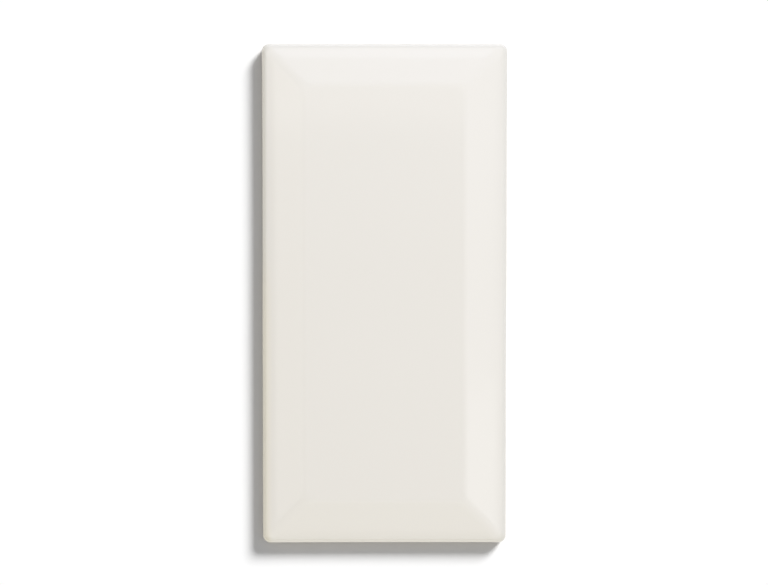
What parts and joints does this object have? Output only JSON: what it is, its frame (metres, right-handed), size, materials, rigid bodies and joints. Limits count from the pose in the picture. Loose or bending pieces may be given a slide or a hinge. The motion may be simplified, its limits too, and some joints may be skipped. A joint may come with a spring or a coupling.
{
  "type": "bevelled ceramic wall tile",
  "caption": "Rectangular glazed ceramic wall tile with wide soft bevels on all four sides and a keyed back.",
  "frame": {"origin": "centre of the back, in the plane that the tile rests on or is bonded at", "axes": "+Z out of the glazed face, +Y along the length, +X across the width"},
  "size_m": [0.073, 0.1492, 0.008],
  "materials": {
    "glazed_ceramic": "gloss"
  },
  "bodies": {
    "root": {"wall_tile": "glazed_ceramic"}
  },
  "joints": []
}
